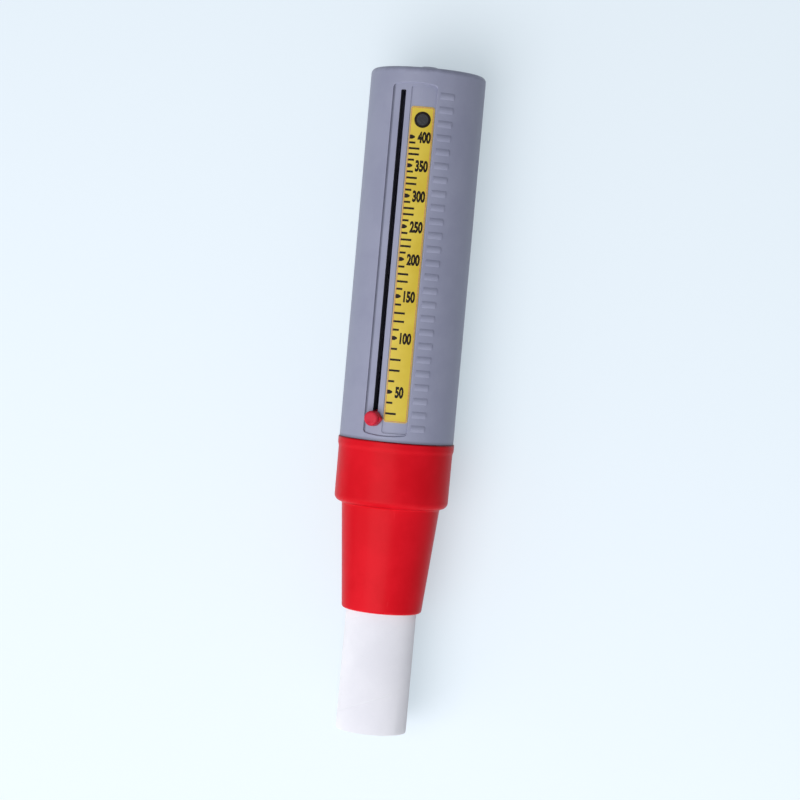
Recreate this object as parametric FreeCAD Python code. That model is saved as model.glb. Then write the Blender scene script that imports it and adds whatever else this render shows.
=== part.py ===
# Low range peak flow meter, in millimetres.
#
# The meter is modelled standing on its mouthpiece: Z runs along its axis from the mouthpiece's open end
# to the vent end, and the scale faces -Y with X to the reader's right. The last step lays it on its back,
# with the scale up, the way it lies on a table.

import FreeCAD
import Part
import math
import os
from FreeCAD import Placement, Rotation, Vector

# Mouthpiece: a plain card tube, pushed into the adapter
MOUTHPIECE_OD = 21.0
MOUTHPIECE_WALL = 0.8
MOUTHPIECE_LENGTH = 67.5
MOUTHPIECE_ENGAGED = 31.5
MOUTHPIECE_FIT = 0.08
SEAT_GAP = 0.1

# Barrel: the tube that the piston runs in
BARREL_OD = 34.0
BARREL_WALL = 2.5
RIM_RADIUS = 1.7
END_WALL = 1.8
DOME_RISE = 0.75
NIB_TOP_D = 4.3
NIB_BASE_D = 9.0
NIB_RISE = 1.05
NIB_SKIN = 1.3
BOSS_WALL = 2.0
VENT_HOLE_D = 4.6
VENT_HOLE_COUNT = 8

# Spigot of the barrel, held in the adapter's collar by a snap bead
SPIGOT_LENGTH = 14.8
SPIGOT_WALL = 1.1
SPIGOT_FIT = 0.05
BEAD_HEIGHT = 0.3
BEAD_HALF_WIDTH = 0.9
BEAD_FROM_LIP = 6.0

# Slot, and the sunk panel round it that carries the scale
POINTER_TRAVEL = 94.0
SLOT_WIDTH = 1.6
SLOT_CENTRE_X = -3.4
SLOT_ABOVE_LIP = 4.7
SLOT_END_GAP = 0.2
SLOT_CORNER = 0.4
VENT_END_MARGIN = 6.7
PANEL_WIDTH = 12.9
PANEL_BELOW_SLOT = 2.3
PANEL_ABOVE_SLOT = 1.4
PANEL_CORNER = 0.8
PANEL_FLARE = 0.5
PANEL_RIM_RADIUS = 0.15
TRACK_DEPTH = 0.45
LABEL_FLOOR_DEPTH = 0.75
LABEL_FLOOR_LEFT_X = -0.9
LABEL_FLOOR_INSET = 0.1
LABEL_THICKNESS = 0.15
LABEL_SIDE_GAP = 0.25
LABEL_CORNER = 0.8
LABEL_ABOVE_SLOT_START = 1.1
LABEL_BELOW_SLOT_END = 4.6

# Row of low grip ribs to the right of the scale
RIB_ANGLE = 33.0
RIB_LENGTH = 4.2
RIB_WIDTH = 2.0
RIB_HEIGHT = 0.3
RIB_ROOT = 0.4
RIB_PITCH = 4.03
RIB_END_MARGIN = 1.1

# Adapter: cone for the mouthpiece, collar for the barrel
CONE_SMALL_D = 23.8
CONE_LARGE_D = 29.3
CONE_EDGE_RADIUS = 0.8
CONE_FOOT_RADIUS = 0.7
STOP_WALL = 1.6
STOP_BORE_RELIEF = 0.3
STOP_CHAMFER = 1.0
COLLAR_HEIGHT = 19.4
COLLAR_CORNER_RADIUS = 2.0
COLLAR_DRAFT = 0.05
LIP_HEIGHT = 3.0
LIP_PROUD = 0.3
LIP_RAMP = 1.0
LIP_RAMP_RADIUS = 2.0
GASKET_THICKNESS = 0.6
GASKET_WIDTH = 2.0

# Carrier that holds the guide rod at the inlet
CARRIER_THICKNESS = 2.4
CARRIER_RING_WIDTH = 2.2
CARRIER_ARM_COUNT = 3
CARRIER_ARM_WIDTH = 1.8
CARRIER_HUB_WALL = 2.0
CARRIER_HUB_ABOVE = 4.0
CARRIER_HUB_TAPER = 0.7
CARRIER_POCKET_DEPTH = 1.4
CARRIER_POCKET_FIT = 0.3
CARRIER_POCKET_WALL = 1.1

# Guide rod and its fastenings
ROD_D = 3.0
ROD_FIT = 0.05
ROD_POINT = 0.3
NUT_WIDTH = 5.5
NUT_HEIGHT = 2.4
ROD_BEYOND_NUT = 0.4
WASHER_OD = 6.4
WASHER_THICKNESS = 0.5
CLIP_THICKNESS = 0.5
CLIP_GROOVE_DEPTH = 0.35
CLIP_WIDTH = 0.95
CLIP_OPENING = 1.9

# Return spring: a long light coil round the rod, closed up between piston and vent end at full travel
SPRING_WIRE_D = 0.5
SPRING_FIT = 0.2
SPRING_TURNS = 13
SPRING_END_GAP = 0.05

# Piston
PISTON_FIT = 0.2
PISTON_HUB_WALL = 2.0
PISTON_HUB_TAPER = 0.6
PISTON_WEB = 1.1
PISTON_SKIRT_LENGTH = 6.0
PISTON_SKIRT_WALL = 0.8
PISTON_RIB_COUNT = 6
PISTON_RIB_THICKNESS = 0.9
PISTON_RIB_DEPTH = 2.6
PISTON_NOSE = 2.0
PISTON_GROOVE_WIDTH = 0.8
PISTON_GROOVE_DEPTH = 0.3
PUSH_GAP = 0.1

# Buffers at both ends of the piston's run
BUFFER_WIDTH = 0.95
REST_BUFFER_THICKNESS = 1.0
END_BUFFER_THICKNESS = 1.5
BUFFER_GAP = 0.1

# Pointer: a knob outside the slot and a shoe inside it
KNOB_D = 4.6
KNOB_HEIGHT = 2.8
KNOB_EDGE_RADIUS = 0.8
KNOB_NOSE = 0.5
KNOB_NOSE_WIDTH = 2.6
KNOB_NOSE_HEIGHT = 1.5
KNOB_CLEARANCE = 0.35
NECK_LENGTH = 3.2
NECK_SIDE_GAP = 0.12
TENON_INSET = 0.25
SHOE_WIDTH = 4.4
SHOE_LENGTH = 5.0
SHOE_DEPTH = 2.0
SHOE_CLEARANCE = 0.12
SHOE_CORNER = 0.5
LEAF_THICKNESS = 0.12
LEAF_WIDTH = 2.4
LEAF_LENGTH = 3.9
LEAF_GAP = 0.03

# Radii that several pieces share
BARREL_R = BARREL_OD / 2
BORE_R = BARREL_R - BARREL_WALL
SPIGOT_R = BORE_R + SPIGOT_WALL
COLLAR_BORE_R = SPIGOT_R + SPIGOT_FIT
LIP_R = BARREL_R + LIP_PROUD
MOUTHPIECE_R = MOUTHPIECE_OD / 2
MOUTHPIECE_BORE_R = MOUTHPIECE_R - MOUTHPIECE_WALL
ROD_R = ROD_D / 2
ROD_HOLE_R = ROD_R + ROD_FIT
CARRIER_HUB_R = ROD_HOLE_R + CARRIER_HUB_WALL
PISTON_HUB_R = ROD_HOLE_R + PISTON_HUB_WALL
BOSS_R = ROD_HOLE_R + BOSS_WALL
SPRING_R = max(BOSS_R, PISTON_HUB_R) + SPRING_FIT + SPRING_WIRE_D / 2
TRACK_R = BARREL_R - TRACK_DEPTH
LABEL_FLOOR_R = BARREL_R - LABEL_FLOOR_DEPTH
PISTON_R = BORE_R - PISTON_FIT
SLOT_ANGLE = math.degrees(math.asin(SLOT_CENTRE_X / BARREL_R))

# Heights along the axis, from the mouthpiece to the vent end
ADAPTER_END_Z = MOUTHPIECE_LENGTH - MOUTHPIECE_ENGAGED
STOP_Z = MOUTHPIECE_LENGTH + SEAT_GAP
FLOOR_Z = STOP_Z + STOP_WALL
CARRIER_Z = FLOOR_Z + GASKET_THICKNESS
SPIGOT_END_Z = CARRIER_Z + CARRIER_THICKNESS
LIP_Z = SPIGOT_END_Z + SPIGOT_LENGTH
COLLAR_Z = LIP_Z - COLLAR_HEIGHT
SLOT_LOW_Z = LIP_Z + SLOT_ABOVE_LIP
POINTER_Z = SLOT_LOW_Z + SLOT_END_GAP + NECK_LENGTH / 2
SLOT_HIGH_Z = POINTER_Z + POINTER_TRAVEL + NECK_LENGTH / 2 + SLOT_END_GAP
PANEL_LOW_Z = SLOT_LOW_Z - PANEL_BELOW_SLOT
PANEL_HIGH_Z = SLOT_HIGH_Z + PANEL_ABOVE_SLOT
RIM_Z = SLOT_HIGH_Z + VENT_END_MARGIN
INNER_END_Z = RIM_Z - END_WALL
NIB_Z = RIM_Z + DOME_RISE + NIB_RISE
NUT_SEAT_Z = CARRIER_Z + CARRIER_POCKET_DEPTH
HUB_HIGH_Z = SPIGOT_END_Z + CARRIER_HUB_ABOVE
CLIP_Z = HUB_HIGH_Z + ROD_FIT
REST_BUFFER_Z = CLIP_Z + CLIP_THICKNESS + BUFFER_GAP
PISTON_LOW_Z = REST_BUFFER_Z + REST_BUFFER_THICKNESS + BUFFER_GAP
PISTON_FRONT_Z = POINTER_Z - SHOE_LENGTH / 2 - PUSH_GAP
PISTON_NOSE_Z = PISTON_FRONT_Z + PISTON_NOSE
END_BUFFER_Z = PISTON_NOSE_Z + POINTER_TRAVEL + BUFFER_GAP
BOSS_LOW_Z = END_BUFFER_Z + END_BUFFER_THICKNESS
ROD_HIGH_Z = NIB_Z - NIB_SKIN
WASHER_Z = NUT_SEAT_Z - WASHER_THICKNESS
NUT_Z = WASHER_Z - NUT_HEIGHT
ROD_LOW_Z = NUT_Z - ROD_BEYOND_NUT
SPRING_LOW_Z = PISTON_FRONT_Z + SPRING_END_GAP
SPRING_HIGH_Z = INNER_END_Z - SPRING_END_GAP

ORIGIN = Vector(0, 0, 0)
AXIS = Vector(0, 0, 1)


def outline(corners):
    """Closed wire in the XZ plane through (x, z, radius) corners, each rounded by a tangent arc."""
    points = [Vector(x, 0, z) for x, z, radius in corners]
    entries = []
    leaves = []
    arcs = []
    for index, (x, z, radius) in enumerate(corners):
        here = points[index]
        if radius == 0:
            entries.append(here)
            leaves.append(here)
            arcs.append(None)
            continue
        back = (points[index - 1] - here).normalize()
        ahead = (points[(index + 1) % len(points)] - here).normalize()
        half = back.getAngle(ahead) / 2
        reach = radius / math.tan(half)
        inward = (back + ahead).normalize()
        middle = here + inward * (radius / math.sin(half) - radius)
        entries.append(here + back * reach)
        leaves.append(here + ahead * reach)
        arcs.append(Part.Arc(entries[-1], middle, leaves[-1]).toShape())
    edges = []
    for index, arc in enumerate(arcs):
        if arc:
            edges.append(arc)
        start = leaves[index]
        end = entries[(index + 1) % len(points)]
        if start.distanceToPoint(end) > 1e-6:
            edges.append(Part.LineSegment(start, end).toShape())
    return Part.Wire(edges)


def turned(corners):
    """Solid of revolution about the meter's axis."""
    return Part.Face(outline(corners)).revolve(ORIGIN, AXIS, 360)


def ring(inner_r, outer_r, low_z, high_z):
    return turned([(inner_r, low_z, 0), (outer_r, low_z, 0), (outer_r, high_z, 0), (inner_r, high_z, 0)])


def front_block(low_x, high_x, low_z, high_z, corner, inner_r, outer_r):
    """Block with rounded corners that faces the reader, between two distances from the axis."""
    lower = [(low_x, low_z, corner), (high_x, low_z, corner)]
    upper = [(high_x, high_z, corner), (low_x, high_z, corner)]
    face = Part.Face(outline(lower + upper))
    face.translate(Vector(0, -outer_r, 0))
    return face.extrude(Vector(0, outer_r - inner_r, 0))


def curved_patch(low_x, high_x, low_z, high_z, corner, inner_r, outer_r):
    """The same block, cut to a layer that follows the barrel's round."""
    block = front_block(low_x, high_x, low_z, high_z, corner, inner_r / 2, outer_r + 1)
    return block.common(ring(inner_r, outer_r, low_z - 1, high_z + 1))


def turn_to(shape, angle):
    """The shape swung round the axis, to the reader's right when the angle is positive."""
    return shape.rotated(ORIGIN, AXIS, angle)


def polar_copies(shape, count):
    return [turn_to(shape, 360 * index / count) for index in range(count)]


def mouthpiece():
    edge = MOUTHPIECE_WALL / 4
    return turned([
        (MOUTHPIECE_BORE_R, 0, edge),
        (MOUTHPIECE_R, 0, edge),
        (MOUTHPIECE_R, MOUTHPIECE_LENGTH, edge),
        (MOUTHPIECE_BORE_R, MOUTHPIECE_LENGTH, edge),
    ])


def mouthpiece_adapter():
    socket_r = MOUTHPIECE_R + MOUTHPIECE_FIT
    stop_r = MOUTHPIECE_BORE_R + STOP_BORE_RELIEF
    collar_low_r = BARREL_R - COLLAR_DRAFT
    lip_low_z = LIP_Z - LIP_HEIGHT
    bead_z = LIP_Z - BEAD_FROM_LIP
    return turned([
        (socket_r, ADAPTER_END_Z, 0.4),
        (CONE_SMALL_D / 2, ADAPTER_END_Z, CONE_EDGE_RADIUS),
        (CONE_LARGE_D / 2, COLLAR_Z, CONE_FOOT_RADIUS),
        (collar_low_r, COLLAR_Z, COLLAR_CORNER_RADIUS),
        (BARREL_R, lip_low_z, LIP_RAMP_RADIUS),
        (LIP_R, lip_low_z + LIP_RAMP, LIP_RAMP_RADIUS),
        (LIP_R, LIP_Z, 0.3),
        (COLLAR_BORE_R, LIP_Z, 0.3),
        (COLLAR_BORE_R, bead_z + BEAD_HALF_WIDTH, 0),
        (COLLAR_BORE_R + BEAD_HEIGHT, bead_z, 0.3),
        (COLLAR_BORE_R, bead_z - BEAD_HALF_WIDTH, 0),
        (COLLAR_BORE_R, FLOOR_Z, 0),
        (stop_r + STOP_CHAMFER, FLOOR_Z, 0),
        (stop_r, FLOOR_Z - STOP_CHAMFER, 0),
        (stop_r, STOP_Z, 0),
        (socket_r, STOP_Z, 0),
    ])


def adapter_gasket():
    return ring(COLLAR_BORE_R - GASKET_WIDTH, COLLAR_BORE_R, FLOOR_Z, CARRIER_Z)


def barrel_tube():
    """The barrel's turned form: spigot, snap bead, tube, domed vent end with its nib and rod boss."""
    bead_z = LIP_Z - BEAD_FROM_LIP
    dome_z = RIM_Z + DOME_RISE
    return turned([
        (BORE_R, SPIGOT_END_Z, 0),
        (SPIGOT_R, SPIGOT_END_Z, 0.4),
        (SPIGOT_R, bead_z - BEAD_HALF_WIDTH, 0),
        (SPIGOT_R + BEAD_HEIGHT, bead_z, 0.3),
        (SPIGOT_R, bead_z + BEAD_HALF_WIDTH, 0),
        (SPIGOT_R, LIP_Z, 0),
        (BARREL_R, LIP_Z, 0.2),
        (BARREL_R, RIM_Z, RIM_RADIUS),
        (BARREL_R * 0.6, RIM_Z + DOME_RISE * 0.7, BARREL_R * 2),
        (NIB_BASE_D / 2, dome_z, 1.5),
        (NIB_TOP_D / 2, NIB_Z, 0.4),
        (0, NIB_Z, 0),
        (0, ROD_HIGH_Z, 0),
        (ROD_HOLE_R, ROD_HIGH_Z, 0),
        (ROD_HOLE_R, BOSS_LOW_Z, 0),
        (BOSS_R, BOSS_LOW_Z, 0.4),
        (BOSS_R, INNER_END_Z, 0.1),
        (BORE_R, INNER_END_Z, 1.2),
    ])


def grip_rib(height_z):
    """One rib: a low round-backed bar that follows the barrel's round, rooted in its wall."""
    back_r = (RIB_WIDTH ** 2 / 4 + RIB_HEIGHT ** 2) / (2 * RIB_HEIGHT)
    root_r = BARREL_R - RIB_ROOT
    half = math.sqrt(back_r ** 2 - (back_r - RIB_HEIGHT - RIB_ROOT) ** 2)
    low = Vector(root_r, 0, height_z - half)
    crest = Vector(BARREL_R + RIB_HEIGHT, 0, height_z)
    high = Vector(root_r, 0, height_z + half)
    section = Part.Wire([Part.Arc(low, crest, high).toShape(), Part.LineSegment(high, low).toShape()])
    sweep = math.degrees(RIB_LENGTH / BARREL_R)
    bar = Part.Face(section).revolve(ORIGIN, AXIS, sweep)
    return turn_to(bar, RIB_ANGLE - 90 - sweep / 2)


def panel_cutter():
    """The sunk panel's hollow: rounded corners, and sides that lean outwards like a moulding's."""
    outside = BARREL_R + 1
    flat_y = TRACK_R * math.cos(math.asin(PANEL_WIDTH / 2 / TRACK_R))
    wires = []
    for radius in (flat_y, outside):
        lean = (radius - flat_y) * PANEL_FLARE
        half = PANEL_WIDTH / 2 + lean
        low_z = PANEL_LOW_Z - lean
        high_z = PANEL_HIGH_Z + lean
        corner = PANEL_CORNER + lean
        wire = outline([
            (-half, low_z, corner), (half, low_z, corner), (half, high_z, corner), (-half, high_z, corner),
        ])
        wire.translate(Vector(0, -radius, 0))
        wires.append(wire)
    block = Part.makeLoft(wires, True, True)
    return block.common(ring(TRACK_R, outside, PANEL_LOW_Z - 2, PANEL_HIGH_Z + 2))


def panelled(tube):
    """The tube with the panel cut into it and the panel's rim rounded."""
    sunk = tube.cut(panel_cutter())
    reach = PANEL_WIDTH / 2 + 1
    rim = []
    for edge in sunk.Edges:
        middle = edge.valueAt((edge.FirstParameter + edge.LastParameter) / 2)
        on_skin = abs(math.hypot(middle.x, middle.y) - BARREL_R) < 0.01
        beside = middle.y < 0 and abs(middle.x) < reach
        if on_skin and beside and PANEL_LOW_Z - 1 < middle.z < PANEL_HIGH_Z + 1:
            rim.append(edge)
    return sunk.makeFillet(PANEL_RIM_RADIUS, rim)


def body_tube():
    outside = BARREL_R + 1
    floor = curved_patch(
        LABEL_FLOOR_LEFT_X, PANEL_WIDTH / 2 - LABEL_FLOOR_INSET,
        PANEL_LOW_Z + LABEL_FLOOR_INSET, PANEL_HIGH_Z - LABEL_FLOOR_INSET,
        PANEL_CORNER - LABEL_FLOOR_INSET, LABEL_FLOOR_R, outside,
    )
    slot = front_block(
        -SLOT_WIDTH / 2, SLOT_WIDTH / 2, SLOT_LOW_Z, SLOT_HIGH_Z, SLOT_CORNER, BORE_R / 2, outside
    )
    cutters = [floor, turn_to(slot, SLOT_ANGLE)]
    vent_ring_r = (BOSS_R + BORE_R) / 2
    vent_hole = Part.makeCylinder(
        VENT_HOLE_D / 2, NIB_Z - BOSS_LOW_Z, Vector(0, -vent_ring_r, BOSS_LOW_Z), AXIS
    )
    cutters += polar_copies(vent_hole, VENT_HOLE_COUNT)
    first_rib_z = PANEL_LOW_Z + RIB_END_MARGIN + RIB_WIDTH / 2
    run = PANEL_HIGH_Z - RIB_END_MARGIN - RIB_WIDTH / 2 - first_rib_z
    ribs = [grip_rib(first_rib_z + index * RIB_PITCH) for index in range(int(run / RIB_PITCH) + 1)]
    return panelled(barrel_tube()).cut(cutters).fuse(ribs)


def scale_label():
    low_x = LABEL_FLOOR_LEFT_X + LABEL_SIDE_GAP
    high_x = PANEL_WIDTH / 2 - LABEL_SIDE_GAP
    low_z = SLOT_LOW_Z + LABEL_ABOVE_SLOT_START
    high_z = SLOT_HIGH_Z - LABEL_BELOW_SLOT_END
    return curved_patch(
        low_x, high_x, low_z, high_z, LABEL_CORNER, LABEL_FLOOR_R, LABEL_FLOOR_R + LABEL_THICKNESS
    )


def rod_carrier():
    """Spider clamped between the gasket and the barrel's spigot, with a pocket in its hub for the nut."""
    outer_r = SPIGOT_R
    pocket_r = WASHER_OD / 2 + CARRIER_POCKET_FIT
    rim = ring(outer_r - CARRIER_RING_WIDTH, outer_r, CARRIER_Z, SPIGOT_END_Z)
    hub = turned([
        (ROD_HOLE_R, NUT_SEAT_Z, 0),
        (pocket_r, NUT_SEAT_Z, 0),
        (pocket_r, CARRIER_Z, 0),
        (pocket_r + CARRIER_POCKET_WALL, CARRIER_Z, 0.4),
        (pocket_r + CARRIER_POCKET_WALL, SPIGOT_END_Z, 0.4),
        (CARRIER_HUB_R, SPIGOT_END_Z, 0.6),
        (CARRIER_HUB_R - CARRIER_HUB_TAPER, HUB_HIGH_Z, 0.3),
        (ROD_HOLE_R, HUB_HIGH_Z, 0),
    ])
    arm_start = pocket_r + CARRIER_POCKET_WALL / 2
    arm_end = outer_r - CARRIER_RING_WIDTH / 2
    arm_half = CARRIER_ARM_WIDTH / 2
    arm = front_block(-arm_half, arm_half, CARRIER_Z, SPIGOT_END_Z, arm_half * 0.8, arm_start, arm_end)
    return rim.fuse([hub] + polar_copies(arm, CARRIER_ARM_COUNT)).removeSplitter()


def guide_rod():
    groove_r = ROD_R - CLIP_GROOVE_DEPTH
    return turned([
        (0, ROD_LOW_Z, 0),
        (ROD_R, ROD_LOW_Z, ROD_POINT),
        (ROD_R, CLIP_Z, 0),
        (groove_r, CLIP_Z, 0),
        (groove_r, CLIP_Z + CLIP_THICKNESS, 0),
        (ROD_R, CLIP_Z + CLIP_THICKNESS, 0),
        (ROD_R, ROD_HIGH_Z, ROD_POINT),
        (0, ROD_HIGH_Z, 0),
    ])


def rod_washer():
    return ring(ROD_HOLE_R, WASHER_OD / 2, WASHER_Z, NUT_SEAT_Z)


def rod_nut():
    across_corners = NUT_WIDTH / math.cos(math.pi / 6)
    corners = []
    for index in range(6):
        angle = math.pi / 3 * index
        corners.append(Vector(math.cos(angle), math.sin(angle), 0) * (across_corners / 2))
    face = Part.Face(Part.makePolygon(corners + corners[:1]))
    face.translate(Vector(0, 0, NUT_Z))
    hexagon = face.extrude(Vector(0, 0, NUT_HEIGHT))
    chamfer = (across_corners - NUT_WIDTH) / 2
    blank = turned([
        (ROD_R, NUT_Z, 0),
        (NUT_WIDTH / 2, NUT_Z, 0),
        (across_corners / 2, NUT_Z + chamfer, 0),
        (across_corners / 2, WASHER_Z, 0),
        (ROD_R, WASHER_Z, 0),
    ])
    return hexagon.common(blank)


def rod_clip():
    """Open spring clip in the rod's groove, above the carrier's hub."""
    groove_r = ROD_R - CLIP_GROOVE_DEPTH
    clip = ring(groove_r, groove_r + CLIP_WIDTH, CLIP_Z, CLIP_Z + CLIP_THICKNESS)
    half = CLIP_OPENING / 2
    gap = front_block(-half, half, CLIP_Z - 1, CLIP_Z + CLIP_THICKNESS + 1, 0, 0, ROD_R + CLIP_WIDTH)
    return clip.cut(gap)


def return_spring():
    """Open coil of round wire with ground ends, from the piston's web to the wall of the vent end."""
    length = SPRING_HIGH_Z - SPRING_LOW_Z
    path = Part.makeHelix(length / SPRING_TURNS, length, SPRING_R)
    path.translate(Vector(0, 0, SPRING_LOW_Z))
    start = Vector(SPRING_R, 0, SPRING_LOW_Z)
    section = Part.Wire(Part.makeCircle(SPRING_WIRE_D / 2, start, Vector(0, 1, 0)))
    coil = path.makePipeShell([section], True, True)
    ground = ring(SPRING_R - SPRING_WIRE_D, SPRING_R + SPRING_WIRE_D, SPRING_LOW_Z, SPRING_HIGH_Z)
    return coil.common(ground)


def rest_buffer():
    return ring(ROD_HOLE_R, ROD_HOLE_R + BUFFER_WIDTH, REST_BUFFER_Z, REST_BUFFER_Z + REST_BUFFER_THICKNESS)


def end_buffer():
    return ring(ROD_HOLE_R, BOSS_R, END_BUFFER_Z, BOSS_LOW_Z)


def piston():
    """Thin moulded piston: grooved skirt, web with ribs under it, and a long hub on the rod."""
    web_low_z = PISTON_FRONT_Z - PISTON_WEB
    skirt_low_z = PISTON_FRONT_Z - PISTON_SKIRT_LENGTH
    skirt_in_r = PISTON_R - PISTON_SKIRT_WALL
    form = turned([
        (ROD_HOLE_R, PISTON_LOW_Z, 0),
        (PISTON_HUB_R - PISTON_HUB_TAPER, PISTON_LOW_Z, 0.3),
        (PISTON_HUB_R, web_low_z, 0.4),
        (skirt_in_r, web_low_z, 0.4),
        (skirt_in_r, skirt_low_z, 0.2),
        (PISTON_R, skirt_low_z, 0.2),
        (PISTON_R, PISTON_FRONT_Z, 0.4),
        (PISTON_HUB_R, PISTON_FRONT_Z, 0),
        (PISTON_HUB_R - PISTON_HUB_TAPER, PISTON_NOSE_Z, 0.3),
        (ROD_HOLE_R, PISTON_NOSE_Z, 0),
    ])
    rib_half = PISTON_RIB_THICKNESS / 2
    rib_start = (ROD_HOLE_R + PISTON_HUB_R) / 2
    rib_end = PISTON_R - PISTON_SKIRT_WALL / 2
    rib_low_z = web_low_z - PISTON_RIB_DEPTH
    rib_high_z = PISTON_FRONT_Z - PISTON_WEB / 2
    rib = front_block(-rib_half, rib_half, rib_low_z, rib_high_z, 0, rib_start, rib_end)
    body = form.fuse(polar_copies(rib, PISTON_RIB_COUNT))
    grooves = []
    for share in (1 / 3, 2 / 3):
        groove_z = skirt_low_z + PISTON_SKIRT_LENGTH * share
        grooves.append(ring(
            PISTON_R - PISTON_GROOVE_DEPTH, PISTON_R + 1,
            groove_z - PISTON_GROOVE_WIDTH / 2, groove_z + PISTON_GROOVE_WIDTH / 2,
        ))
    return body.cut(grooves).removeSplitter()


def at_slot(shape):
    """Pointer parts are drawn at the front, with the slot's line at X = 0, then swung to the slot."""
    return turn_to(shape.translated(Vector(0, 0, POINTER_Z)), SLOT_ANGLE)


def neck_block(inset, inner_r, outer_r):
    half_width = SLOT_WIDTH / 2 - NECK_SIDE_GAP - inset
    half_length = NECK_LENGTH / 2 - inset
    return front_block(-half_width, half_width, -half_length, half_length, SLOT_CORNER / 2, inner_r, outer_r)


def pointer_knob():
    """Round knob with a nose at the scale, a neck through the slot and a tenon for the shoe."""
    base_r = TRACK_R + KNOB_CLEARANCE
    top_r = base_r + KNOB_HEIGHT
    knob_r = KNOB_D / 2
    button = turned([
        (0, base_r, 0),
        (knob_r, base_r, 0.2),
        (knob_r * 0.94, top_r, KNOB_EDGE_RADIUS),
        (0, top_r, 0),
    ])
    button = button.rotated(ORIGIN, Vector(1, 0, 0), 90)
    nose_half = KNOB_NOSE_WIDTH / 2
    nose_start = knob_r * 0.8
    nose_wire = Part.makePolygon([
        Vector(nose_start, -base_r, -nose_half),
        Vector(knob_r + KNOB_NOSE, -base_r, 0),
        Vector(nose_start, -base_r, nose_half),
        Vector(nose_start, -base_r, -nose_half),
    ])
    nose = Part.Face(nose_wire).extrude(Vector(0, -KNOB_NOSE_HEIGHT, 0))
    shoe_top_r = BORE_R - SHOE_CLEARANCE
    neck = neck_block(0, shoe_top_r, base_r + KNOB_HEIGHT / 2)
    tenon = neck_block(TENON_INSET, shoe_top_r - SHOE_DEPTH, shoe_top_r + TENON_INSET)
    return at_slot(button.fuse([nose, neck, tenon]).removeSplitter())


def pointer_shoe():
    """Block inside the barrel, curved to the bore, that the piston pushes; the tenon fills its hole."""
    outer_r = BORE_R - SHOE_CLEARANCE
    inner_r = outer_r - SHOE_DEPTH
    half = SHOE_WIDTH / 2
    block = front_block(-half, half, -SHOE_LENGTH / 2, SHOE_LENGTH / 2, SHOE_CORNER, inner_r, BORE_R)
    block = block.common(Part.makeCylinder(outer_r, SHOE_LENGTH, Vector(0, 0, -SHOE_LENGTH / 2), AXIS))
    return at_slot(block.cut([neck_block(TENON_INSET, inner_r - 1, BORE_R), neck_block(0, outer_r, BORE_R)]))


def friction_leaf():
    """Bowed strip of spring steel under the knob, with a hole for the neck."""
    low_r = TRACK_R + LEAF_GAP
    crown_r = TRACK_R + KNOB_CLEARANCE
    half = LEAF_LENGTH / 2
    top_r = low_r + LEAF_THICKNESS
    outer = Part.Arc(Vector(0, -top_r, -half), Vector(0, -crown_r, 0), Vector(0, -top_r, half))
    under_r = crown_r - LEAF_THICKNESS
    inner = Part.Arc(Vector(0, -low_r, half), Vector(0, -under_r, 0), Vector(0, -low_r, -half))
    ends = [
        Part.LineSegment(outer.EndPoint, inner.StartPoint),
        Part.LineSegment(inner.EndPoint, outer.StartPoint),
    ]
    face = Part.Face(Part.Wire([outer.toShape(), ends[0].toShape(), inner.toShape(), ends[1].toShape()]))
    face.translate(Vector(-LEAF_WIDTH / 2, 0, 0))
    strip = face.extrude(Vector(LEAF_WIDTH, 0, 0))
    return at_slot(strip.cut(neck_block(0, BORE_R, BARREL_R + 1)))


PIECES = [
    mouthpiece,
    mouthpiece_adapter,
    adapter_gasket,
    body_tube,
    scale_label,
    rod_carrier,
    guide_rod,
    rod_washer,
    rod_nut,
    rod_clip,
    return_spring,
    rest_buffer,
    end_buffer,
    piston,
    pointer_knob,
    pointer_shoe,
    friction_leaf,
]

# Lay the meter on its back: the axis along Y, the scale up, its middle over the origin
LAID_DOWN = Placement(Vector(0, -NIB_Z / 2, LIP_R), Rotation(Vector(1, 0, 0), -90))

os.makedirs("parts", exist_ok=True)
for piece in PIECES:
    shape = piece()
    shape.Placement = LAID_DOWN.multiply(shape.Placement)
    shape.exportStep("parts/" + piece.__name__ + ".step")
    print(f"{piece.__name__:20s} solids {len(shape.Solids)} valid {shape.isValid()} mm3 {shape.Volume:9.2f}")
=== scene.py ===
import math

import bmesh
import bpy
from mathutils import Matrix, Quaternion, Vector


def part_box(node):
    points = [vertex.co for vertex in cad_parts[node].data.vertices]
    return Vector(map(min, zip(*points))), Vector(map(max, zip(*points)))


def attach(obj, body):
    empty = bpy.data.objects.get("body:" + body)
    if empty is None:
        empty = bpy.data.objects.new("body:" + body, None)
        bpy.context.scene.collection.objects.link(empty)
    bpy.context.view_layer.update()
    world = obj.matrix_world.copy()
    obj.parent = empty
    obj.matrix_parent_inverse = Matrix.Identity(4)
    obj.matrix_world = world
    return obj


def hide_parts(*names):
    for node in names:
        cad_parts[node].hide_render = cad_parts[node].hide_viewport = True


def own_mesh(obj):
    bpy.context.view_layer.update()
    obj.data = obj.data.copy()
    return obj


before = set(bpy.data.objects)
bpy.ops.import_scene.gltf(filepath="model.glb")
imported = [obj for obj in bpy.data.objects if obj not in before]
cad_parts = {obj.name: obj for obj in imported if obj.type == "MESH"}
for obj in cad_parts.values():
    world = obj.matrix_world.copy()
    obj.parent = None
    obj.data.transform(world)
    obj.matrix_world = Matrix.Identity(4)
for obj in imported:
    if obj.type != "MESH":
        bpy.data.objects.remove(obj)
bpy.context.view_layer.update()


# Barrel
# A tube moulded in satin grey ABS, closed at the vent end. Its sunk panel, slot, grip ribs and vent
# holes come out of one tool, so it keeps that tool's fine grain and a seam along each side.

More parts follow.
